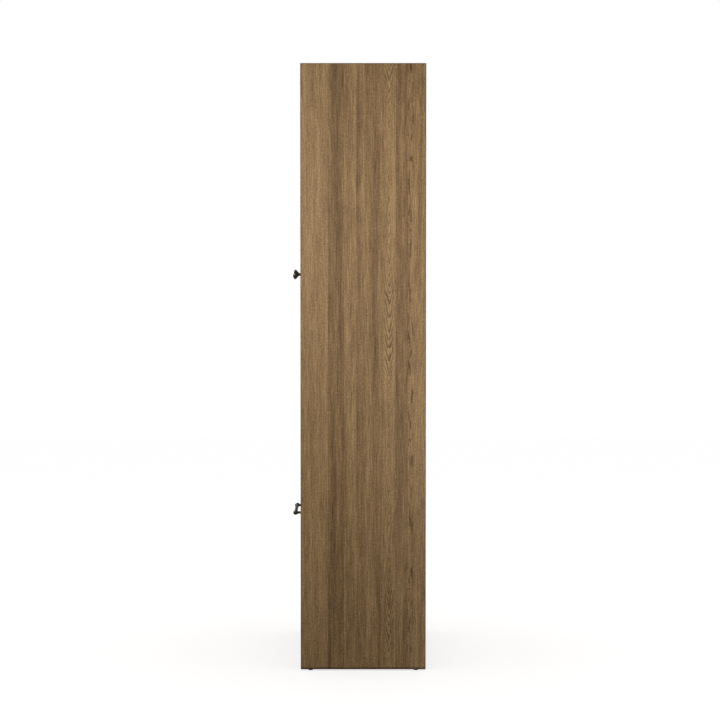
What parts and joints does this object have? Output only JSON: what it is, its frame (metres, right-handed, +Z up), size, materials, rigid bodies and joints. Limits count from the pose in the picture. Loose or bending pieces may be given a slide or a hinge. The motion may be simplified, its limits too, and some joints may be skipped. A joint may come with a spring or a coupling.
{
  "type": "pantry cabinet",
  "caption": "Tall free-standing pantry cabinet in brown oak: framed double doors with black knobs over a deep drawer with a black bar pull, shelves inside.",
  "frame": {"origin": "on the floor, under the middle of the overall box, knobs included", "axes": "+Z up; the doors and the drawer face -Y; +X is to the right when facing the front"},
  "size_m": [0.8, 0.415, 1.85],
  "materials": {
    "oak": "brown oak laminate, satin",
    "back_board": "thin board with a printed brown face",
    "drawer_birch": "clear satin birch ply",
    "beech": "bare",
    "black_metal": "satin black",
    "black_plastic": "matte",
    "plated_steel": "zinc plated",
    "zinc": "die-cast zinc",
    "magnet": "steel pole plates round a ferrite magnet"
  },
  "bodies": {
    "root": {"left_side_panel": "oak", "right_side_panel": "oak", "top_panel": "oak", "bottom_panel": "oak", "divider_panel": "oak", "back_panel": "back_board", "hanging_rail": "oak", "plinth": "oak", "floor_glides": "black_plastic", "shelf_pins": "plated_steel", "cam_locks": "zinc", "cam_bolts": "zinc", "dowels": "beech", "carcass_hinge_plates": "plated_steel", "hinge_pins": "plated_steel", "catch_cases": "black_plastic", "catch_magnets": "magnet", "outer_slide_members": "plated_steel", "carcass_screws": "plated_steel", "shelf_1": "oak", "shelf_2": "oak", "shelf_3": "oak", "shelf_4": "oak"},
    "left_door": {"left_hinge_stile": "oak", "left_meeting_stile": "oak", "left_top_rail": "oak", "left_middle_rail": "oak", "left_bottom_rail": "oak", "left_upper_panel": "oak", "left_lower_panel": "oak", "left_hinge_plates": "plated_steel", "left_strike_plate": "plated_steel", "left_knob": "black_metal", "left_door_screws": "plated_steel"},
    "right_door": {"right_hinge_stile": "oak", "right_meeting_stile": "oak", "right_top_rail": "oak", "right_middle_rail": "oak", "right_bottom_rail": "oak", "right_upper_panel": "oak", "right_lower_panel": "oak", "right_hinge_plates": "plated_steel", "right_strike_plate": "plated_steel", "right_knob": "black_metal", "right_door_screws": "plated_steel"},
    "drawer": {"drawer_front_left_stile": "oak", "drawer_front_right_stile": "oak", "drawer_front_top_rail": "oak", "drawer_front_bottom_rail": "oak", "drawer_front_panel": "oak", "drawer_left_side": "drawer_birch", "drawer_right_side": "drawer_birch", "drawer_box_front": "drawer_birch", "drawer_box_back": "drawer_birch", "drawer_bottom": "drawer_birch", "drawer_pull": "black_metal", "drawer_screws": "plated_steel", "inner_slide_members": "plated_steel"},
    "slide_middles": {"middle_slide_members": "plated_steel"}
  },
  "joints": [
    {"name": "left_door_hinge", "type": "hinge", "parent": "root", "child": "left_door", "pos_m": [-0.369, -0.1675, 0.51], "axis": [0, 0, -1], "range_deg": [0, 110]},
    {"name": "right_door_hinge", "type": "hinge", "parent": "root", "child": "right_door", "pos_m": [0.369, -0.1675, 0.51], "axis": [0, 0, 1], "range_deg": [0, 110]},
    {"name": "drawer_slide", "type": "slide", "parent": "root", "child": "drawer", "axis": [0, -1, 0], "range_m": [0, 0.3]},
    {"name": "middle_slide", "type": "slide", "parent": "root", "child": "slide_middles", "axis": [0, -1, 0], "range_m": [0, 0.15]}
  ],
  "couplings": [
    {"joint": "middle_slide", "follows": "drawer_slide", "ratio": 0.5}
  ]
}
